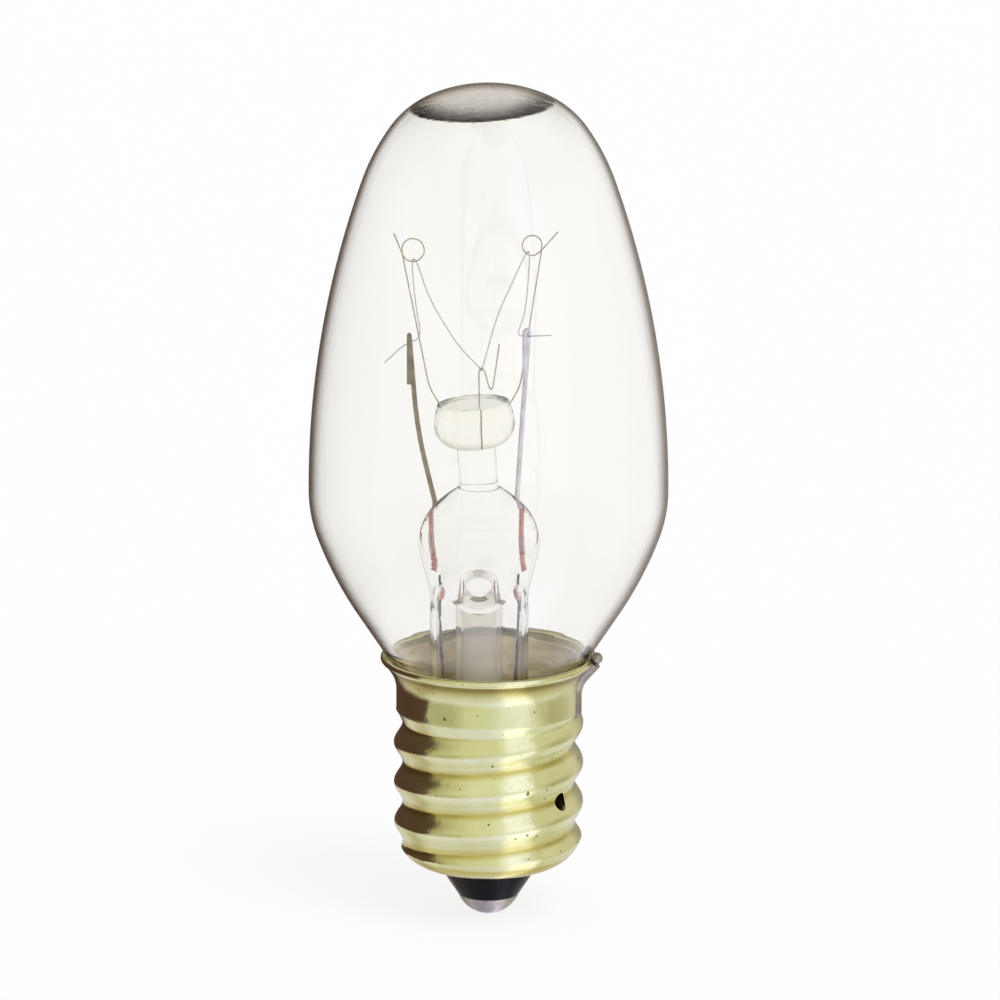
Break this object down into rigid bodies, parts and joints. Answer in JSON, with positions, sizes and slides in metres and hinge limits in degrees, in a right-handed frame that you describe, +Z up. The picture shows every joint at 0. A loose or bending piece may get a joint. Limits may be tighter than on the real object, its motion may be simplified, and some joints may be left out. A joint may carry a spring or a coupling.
{
  "type": "incandescent dryer bulb",
  "caption": "Clear oval glass lamp with a coiled filament on a pressed glass stem and a small rolled screw base.",
  "frame": {"origin": "centre of the small flat on the tip contact", "axes": "+Z up along the lamp axis towards the glass, +X to the right and -Y to the front of the flat press"},
  "size_m": [0.022, 0.022, 0.0522],
  "materials": {
    "clear_glass": "clear, polished",
    "stem_glass": "clear, slightly grey",
    "nickel_wire": "dull grey-tan wire",
    "copper_wire": "salmon pink copper sheath, satin",
    "dark_lead_wire": "dark oxidised wire",
    "support_wire": "fine satin grey wire",
    "filament_wire": "dark grey coiled wire",
    "base_brass": "pale polished brass with fine pits",
    "cement": "matt buff cement",
    "black_glass": "glossy black",
    "solder": "uneven satin grey solder"
  },
  "bodies": {
    "root": {"glass_envelope": "clear_glass", "stem": "stem_glass", "exhaust_tube": "stem_glass", "inner_lead_left": "nickel_wire", "inner_lead_right": "nickel_wire", "seal_wire_left": "copper_wire", "seal_wire_right": "copper_wire", "outer_lead_left": "dark_lead_wire", "outer_lead_right": "dark_lead_wire", "support_left": "support_wire", "support_right": "support_wire", "support_centre": "support_wire", "filament": "filament_wire", "base_shell": "base_brass", "basing_cement": "cement", "insulator": "black_glass", "contact_eyelet": "base_brass", "contact_solder": "solder", "side_solder": "solder"}
  },
  "joints": []
}
